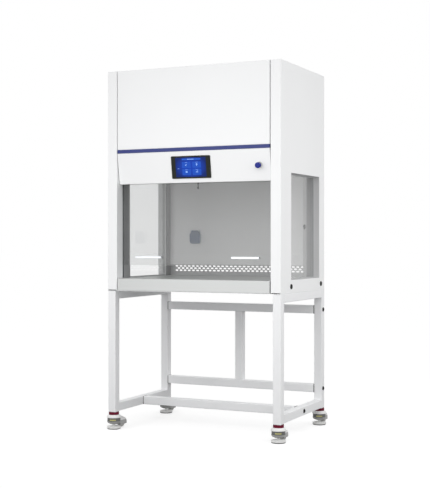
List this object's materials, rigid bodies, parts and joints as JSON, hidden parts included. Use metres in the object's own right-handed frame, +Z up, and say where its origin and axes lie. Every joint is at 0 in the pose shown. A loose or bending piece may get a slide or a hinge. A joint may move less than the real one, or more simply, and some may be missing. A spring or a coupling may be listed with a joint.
{
  "type": "laminar flow hood",
  "caption": "Vertical-flow clean bench with a glass sash, side windows, sloped control panel and a square-tube stand on levelling casters.",
  "frame": {"origin": "on the floor, under the middle of the whole object's plan, push button and caster hoods included", "axes": "+Z up, +X to the user's right, +Y from the sash side to the back"},
  "size_m": [0.93, 0.664, 1.73],
  "materials": {
    "cabinet_white": "smooth white powder coat",
    "liner_white": "smooth off-white powder coat",
    "stand_white": "smooth white powder coat on square tube",
    "stainless": "brushed stainless steel sheet",
    "trim_blue": "satin blue paint",
    "clear_glass": "clear toughened glass",
    "guide_grey": "dark grey extruded plastic",
    "pull_grey": "satin anodised extrusion",
    "bezel_black": "near-black moulded plastic",
    "display_blue": "lit display under glass",
    "bright_chrome": "bright chrome plate",
    "button_blue": "moulded blue plastic",
    "lid_blue": "slate-blue moulded plastic",
    "socket_grey": "light grey moulded plastic",
    "black_plastic": "black moulded plastic",
    "filter_media": "pleated paper in a plastic frame",
    "bare_aluminium": "satin aluminium",
    "motor_grey": "painted cast housing",
    "lamp_white": "frosted white plastic",
    "probe_metal": "turned steel",
    "black_steel": "black oxide screws",
    "zinc_steel": "zinc-plated steel",
    "caster_white": "white-coated die-cast body",
    "caster_red": "red moulded plastic",
    "foot_rubber": "grey rubber pad",
    "wheel_nylon": "white nylon"
  },
  "bodies": {
    "root": {"base_pan": "cabinet_white", "side_shell_left": "cabinet_white", "side_shell_right": "cabinet_white", "top_cover": "cabinet_white", "rear_panel": "cabinet_white", "upper_front_panel": "cabinet_white", "control_panel": "cabinet_white", "trim_strip": "trim_blue", "side_liner_left": "liner_white", "side_liner_right": "liner_white", "back_wall": "liner_white", "plenum_deck": "liner_white", "service_duct": "liner_white", "slot_strip": "stainless", "work_surface": "stainless", "diffuser": "liner_white", "side_window_left": "clear_glass", "side_window_right": "clear_glass", "sash_guides": "guide_grey", "screen_bezel": "bezel_black", "screen_glass": "display_blue", "button_bezel": "bright_chrome", "socket_box": "socket_grey", "airflow_probe": "probe_metal", "led_lamp": "lamp_white", "uv_lamp": "lamp_white", "prefilter": "filter_media", "hepa_filter": "filter_media", "blower_housing": "zinc_steel", "blower_motor": "motor_grey", "control_box": "black_plastic", "power_inlet": "black_plastic", "hole_plugs": "black_plastic", "stand_side_left": "stand_white", "stand_side_right": "stand_white", "stand_rear_frame": "stand_white", "stand_cross_rail": "stand_white", "stand_bolts": "black_steel", "caster_stems": "zinc_steel"},
    "sash": {"sash_glass": "clear_glass", "sash_pulls": "pull_grey"},
    "button": {"button_cap": "button_blue"},
    "socket_lid": {"socket_lid": "lid_blue"},
    "impeller": {"impeller": "bare_aluminium"},
    "caster_housing_front_left": {"caster_housing_front_left": "caster_white"},
    "thumbwheel_front_left": {"thumbwheel_front_left": "caster_red"},
    "caster_foot_front_left": {"caster_foot_front_left": "foot_rubber"},
    "caster_wheel_front_left": {"caster_wheel_front_left": "wheel_nylon"},
    "caster_housing_front_right": {"caster_housing_front_right": "caster_white"},
    "thumbwheel_front_right": {"thumbwheel_front_right": "caster_red"},
    "caster_foot_front_right": {"caster_foot_front_right": "foot_rubber"},
    "caster_wheel_front_right": {"caster_wheel_front_right": "wheel_nylon"},
    "caster_housing_rear_left": {"caster_housing_rear_left": "caster_white"},
    "thumbwheel_rear_left": {"thumbwheel_rear_left": "caster_red"},
    "caster_foot_rear_left": {"caster_foot_rear_left": "foot_rubber"},
    "caster_wheel_rear_left": {"caster_wheel_rear_left": "wheel_nylon"},
    "caster_housing_rear_right": {"caster_housing_rear_right": "caster_white"},
    "thumbwheel_rear_right": {"thumbwheel_rear_right": "caster_red"},
    "caster_foot_rear_right": {"caster_foot_rear_right": "foot_rubber"},
    "caster_wheel_rear_right": {"caster_wheel_rear_right": "wheel_nylon"}
  },
  "joints": [
    {"name": "sash_slide", "type": "slide", "parent": "root", "child": "sash", "axis": [0, 0, 1], "range_m": [-0.061, 0.385]},
    {"name": "button_press", "type": "slide", "parent": "root", "child": "button", "axis": [0, 0.9891, 0.147], "range_m": [0, 0.004], "stiffness_N_per_m": 500, "springref_m": -0.002},
    {"name": "lid_hinge", "type": "hinge", "parent": "root", "child": "socket_lid", "pos_m": [-0.2485, 0.22896, 0.963], "axis": [-1, 0, 0], "range_deg": [0, 95]},
    {"name": "impeller_spin", "type": "hinge", "parent": "root", "child": "impeller", "pos_m": [0, -0.01604, 1.5655], "axis": [1, 0, 0], "continuous": true},
    {"name": "swivel_front_left", "type": "hinge", "parent": "root", "child": "caster_housing_front_left", "pos_m": [-0.43, -0.29304, 0.06], "axis": [0, 0, 1], "continuous": true},
    {"name": "level_front_left", "type": "hinge", "parent": "root", "child": "thumbwheel_front_left", "pos_m": [-0.43, -0.29304, 0.077], "axis": [0, 0, 1], "range_deg": [0, 1440]},
    {"name": "foot_front_left", "type": "slide", "parent": "caster_housing_front_left", "child": "caster_foot_front_left", "axis": [0, 0, 1], "range_m": [0, 0.008]},
    {"name": "roll_front_left", "type": "hinge", "parent": "caster_housing_front_left", "child": "caster_wheel_front_left", "pos_m": [-0.42311, -0.23696, 0.025], "axis": [0.9925, -0.1219, 0], "continuous": true},
    {"name": "swivel_front_right", "type": "hinge", "parent": "root", "child": "caster_housing_front_right", "pos_m": [0.43, -0.29304, 0.06], "axis": [0, 0, 1], "continuous": true},
    {"name": "level_front_right", "type": "hinge", "parent": "root", "child": "thumbwheel_front_right", "pos_m": [0.43, -0.29304, 0.077], "axis": [0, 0, 1], "range_deg": [0, 1440]},
    {"name": "foot_front_right", "type": "slide", "parent": "caster_housing_front_right", "child": "caster_foot_front_right", "axis": [0, 0, 1], "range_m": [0, 0.008]},
    {"name": "roll_front_right", "type": "hinge", "parent": "caster_housing_front_right", "child": "caster_wheel_front_right", "pos_m": [0.43, -0.23654, 0.025], "axis": [1, 0, 0], "continuous": true},
    {"name": "swivel_rear_left", "type": "hinge", "parent": "root", "child": "caster_housing_rear_left", "pos_m": [-0.43, 0.24896, 0.06], "axis": [0, 0, 1], "continuous": true},
    {"name": "level_rear_left", "type": "hinge", "parent": "root", "child": "thumbwheel_rear_left", "pos_m": [-0.43, 0.24896, 0.077], "axis": [0, 0, 1], "range_deg": [0, 1440]},
    {"name": "foot_rear_left", "type": "slide", "parent": "caster_housing_rear_left", "child": "caster_foot_rear_left", "axis": [0, 0, 1], "range_m": [0, 0.008]},
    {"name": "roll_rear_left", "type": "hinge", "parent": "caster_housing_rear_left", "child": "caster_wheel_rear_left", "pos_m": [-0.43, 0.30546, 0.025], "axis": [1, 0, 0], "continuous": true},
    {"name": "swivel_rear_right", "type": "hinge", "parent": "root", "child": "caster_housing_rear_right", "pos_m": [0.43, 0.24896, 0.06], "axis": [0, 0, 1], "continuous": true},
    {"name": "level_rear_right", "type": "hinge", "parent": "root", "child": "thumbwheel_rear_right", "pos_m": [0.43, 0.24896, 0.077], "axis": [0, 0, 1], "range_deg": [0, 1440]},
    {"name": "foot_rear_right", "type": "slide", "parent": "caster_housing_rear_right", "child": "caster_foot_rear_right", "axis": [0, 0, 1], "range_m": [0, 0.008]},
    {"name": "roll_rear_right", "type": "hinge", "parent": "caster_housing_rear_right", "child": "caster_wheel_rear_right", "pos_m": [0.43, 0.30546, 0.025], "axis": [1, 0, 0], "continuous": true}
  ],
  "couplings": [
    {"joint": "foot_front_left", "follows": "level_front_left", "m_per_rad": 0.00031831},
    {"joint": "foot_front_right", "follows": "level_front_right", "m_per_rad": 0.00031831},
    {"joint": "foot_rear_left", "follows": "level_rear_left", "m_per_rad": 0.00031831},
    {"joint": "foot_rear_right", "follows": "level_rear_right", "m_per_rad": 0.00031831}
  ]
}
